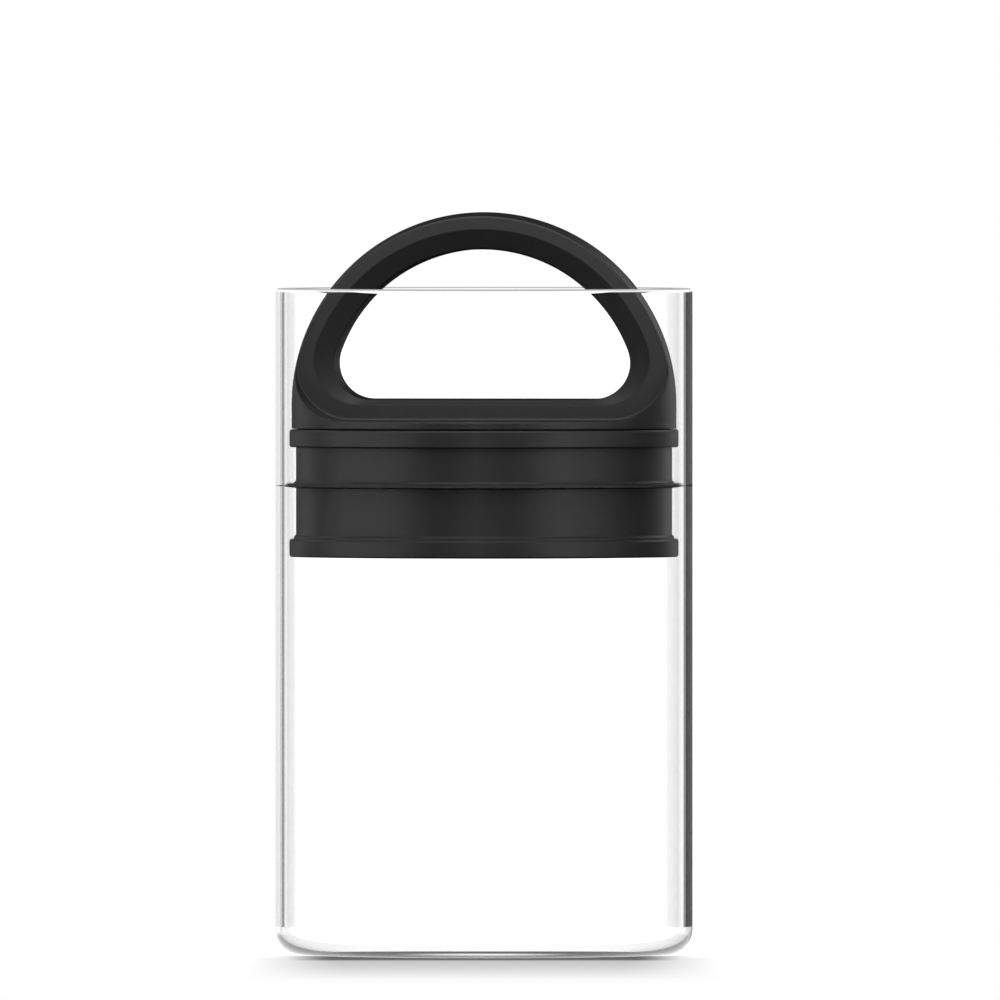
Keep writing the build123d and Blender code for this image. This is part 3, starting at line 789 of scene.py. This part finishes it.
def add_floor():
    """A disc just under the jar that shows the white behind it, less its painted soft shadows, and
    takes the lamps' shadows on a thin matt layer."""
    material, tree, output = new_material("studio_floor")
    path = add_node(tree, "ShaderNodeLightPath").outputs
    place = add_node(tree, "ShaderNodeTexCoord").outputs["Object"]
    turn = (0, 0, -math.radians(CAMERA_AZIMUTH))
    facing = add_node(tree, "ShaderNodeMapping", Vector=place, Rotation=turn)
    part = add_node(tree, "ShaderNodeSeparateXYZ", Vector=facing.outputs[0])
    aside, rear = math_node(tree, "ABSOLUTE", part.outputs["X"]), part.outputs["Y"]
    front = product(tree, rear, -1.0)
    away = add_node(tree, "ShaderNodeVectorMath", {"operation": "LENGTH"}, i0=place).outputs["Value"]

    def fade(value, full, gone):
        """1 at one distance, falling smoothly to 0 at another."""
        return ramp(tree, value, full * MM, gone * MM, 1.0, 0.0)

    # Painted shadows: one in front of the jar, a dark ring seen only through the foot's glass, and a
    # contact shadow under the foot
    painted_shadow = product(tree, fade(aside, *SHADE_ASIDE), fade(front, *SHADE_FRONT), fade(rear, *SHADE_REAR))
    painted_shadow = product(tree, painted_shadow, FLOOR_SHADE, path["Is Camera Ray"])
    caught = math_node(tree, "GREATER_THAN", path["Glossy Depth"], CAUGHT)
    ring = product(tree, fade(away, *FOOT_INNER), fade(away, *FOOT_OUTER), caught, FOOT_SHADE)
    painted_contact_shadow = product(tree, fade(aside, *CONTACT_ASIDE), fade(front, *CONTACT_FRONT))
    painted_contact_shadow = product(tree, painted_contact_shadow, fade(rear, *CONTACT_REAR), path["Is Camera Ray"], CONTACT_SHADE)
    painted_shadow = math_node(tree, "MAXIMUM", math_node(tree, "MAXIMUM", painted_shadow, ring), painted_contact_shadow)
    seen = math_node(tree, "MAXIMUM", path["Is Camera Ray"], path["Is Transmission Ray"])
    seen = math_node(tree, "MAXIMUM", seen, path["Is Glossy Ray"])
    level = product(tree, seen, one_less(tree, painted_shadow))
    level = add_node(tree, "ShaderNodeCombineColor", i0=level, i1=level, i2=level)
    matt = product(tree, fade(away, *MATT_REACH), FLOOR_GREY)
    matt = add_node(tree, "ShaderNodeCombineColor", i0=matt, i1=matt, i2=matt)
    white = add_node(tree, "ShaderNodeBsdfDiffuse", Color=matt.outputs[0])
    clear = add_node(tree, "ShaderNodeBsdfTransparent", Color=level.outputs[0])
    both = add_node(tree, "ShaderNodeAddShader", i0=white.outputs[0], i1=clear.outputs[0])
    tree.links.new(both.outputs[0], output.inputs["Surface"])
    line = np.array([(radius, -FLOOR_DROP) for radius in FLOOR_RADII])
    floor = add_mesh("studio_floor", [(turned(line, FLOOR_SIDES), True)], material)
    return floor


def add_panel(name, azimuth, radiance, elevation, distance, width, height, lit=None):
    """A soft panel that faces the lid and lights everything, or only the collection lit."""
    lamp = bpy.data.lights.new(name, "AREA")
    lamp.shape, lamp.size, lamp.size_y = "RECTANGLE", width, height
    lamp.energy = radiance * math.pi * width * height
    panel = bpy.data.objects.new(name, lamp)
    away = direction(azimuth, elevation)
    panel.location = np.array([0, 0, PANEL_AIM]) + away * distance
    panel.rotation_mode = "QUATERNION"
    panel.rotation_quaternion = Vector(away).to_track_quat("Z", "Y")
    panel.light_linking.receiver_collection = lit
    panel.visible_camera = False
    panel.visible_transmission = False
    bpy.context.scene.collection.objects.link(panel)
    return panel


def add_world():
    """White behind everything, with grey bands low down that only the glass shows.

    The camera sees plain white. Through the glass the same white shows with the bands, which
    draw its edges. The jar's outer face mirrors the white only at a grazing angle. Shine on the
    lid sees none of it, as the panels give the lid all its light.
    """
    world = bpy.data.worlds.new("studio")
    world.use_nodes = True
    tree = world.node_tree
    tree.nodes.clear()
    output = add_node(tree, "ShaderNodeOutputWorld")
    path = add_node(tree, "ShaderNodeLightPath").outputs
    place = add_node(tree, "ShaderNodeTexCoord")
    part = add_node(tree, "ShaderNodeSeparateXYZ", Vector=place.outputs["Generated"])
    across, rear, up = part.outputs["X"], part.outputs["Y"], part.outputs["Z"]
    turn = math_node(tree, "ARCTAN2", across, rear)
    reflections, crossings = path["Glossy Depth"], path["Transmission Depth"]

    in_wall = math_node(tree, "LESS_THAN", crossings, ONE_WALL)
    white = 1.0
    for start, end, soft, level, least, most in BACK_BANDS:
        start, end, soft = (math.radians(angle) for angle in (start, end, soft))
        left = ramp(tree, turn, start, start + soft)
        right = ramp(tree, turn, end - soft, end, 1.0, 0.0)
        band = product(tree, left, right, 1.0 - level)
        if least:
            enough = math_node(tree, "GREATER_THAN", reflections, least - 0.5)
            few = math_node(tree, "LESS_THAN", reflections, most + 0.5)
            band = product(tree, band, enough, few, in_wall)
        white = product(tree, one_less(tree, band), white)

    def by_height(value, limits, first, last):
        """A smooth change from first to last between two angles above the horizon."""
        low, high = (math.sin(math.radians(angle)) for angle in limits)
        return ramp(tree, value, low, high, first, last)

    banded = by_height(math_node(tree, "ABSOLUTE", up), BAND_ENDS, 1.0, 0.0)
    white = blend(tree, banded, 1.0, white)
    white = product(tree, white, by_height(up, DIM_FROM, 1.0, ROOM_LEVEL))
    near, far = (math.radians(angle) for angle in MIRRORED_TO)
    aside = ramp(tree, math_node(tree, "ABSOLUTE", turn), near, far)
    mirrored = math_node(tree, "LESS_THAN", crossings, OUTER_FACE)
    white = product(tree, white, one_less(tree, product(tree, aside, mirrored)))
    both_walls = math_node(tree, "GREATER_THAN", crossings, BOTH_WALLS)
    white = product(tree, white, blend(tree, both_walls, 1.0, THROUGH_LEVEL))
    sharp = math_node(tree, "MAXIMUM", path["Is Transmission Ray"], path["Is Singular Ray"])
    level = blend(tree, path["Is Camera Ray"], product(tree, white, sharp), 1.0)
    background = add_node(tree, "ShaderNodeBackground", Color=grey(1.0), Strength=level)
    tree.links.new(background.outputs[0], output.inputs["Surface"])
    bpy.context.scene.world = world


def add_panels(lit):
    """The upright panels all round, which light only the collection lit, and the high ones."""
    for azimuth, radiance in UPRIGHT_PANELS:
        side = "front" if azimuth == 0 else "left" if azimuth < 0 else "right"
        add_panel(f"panel_{side}_{abs(azimuth)}", azimuth, radiance, *UPRIGHT_FORM, lit=lit)
    for values in HIGH_PANELS:
        add_panel(*values)


def add_camera():
    """A long lens far in front and a little to the right, looking slightly down."""
    distance = PICTURE * PIXEL * LENS / SENSOR
    back, right = direction(CAMERA_AZIMUTH, CAMERA_ELEVATION), direction(CAMERA_AZIMUTH + 90, 0)
    target = np.array([0, 0, AIM_HEIGHT + AIM_UP * PIXEL]) + right * AIM_RIGHT * PIXEL
    data = bpy.data.cameras.new("camera")
    data.lens, data.sensor_width, data.sensor_fit = LENS, SENSOR, "HORIZONTAL"
    data.clip_start, data.clip_end = 1.0, 40.0
    camera = bpy.data.objects.new("camera", data)
    camera.location = target + back * distance
    camera.rotation_mode = "QUATERNION"
    camera.rotation_quaternion = Vector(back).to_track_quat("Z", "Y")
    bpy.context.scene.collection.objects.link(camera)
    bpy.context.scene.camera = camera


lit_pieces = bpy.data.collections.new("lit_by_panels")
for lit_piece in bpy.context.scene.objects:
    if lit_piece.type == "MESH" and lit_piece != jar:
        lit_pieces.objects.link(lit_piece)
lit_pieces.objects.link(add_floor())
add_world()
add_panels(lit_pieces)
add_camera()
bpy.context.scene.view_settings.view_transform = "Standard"
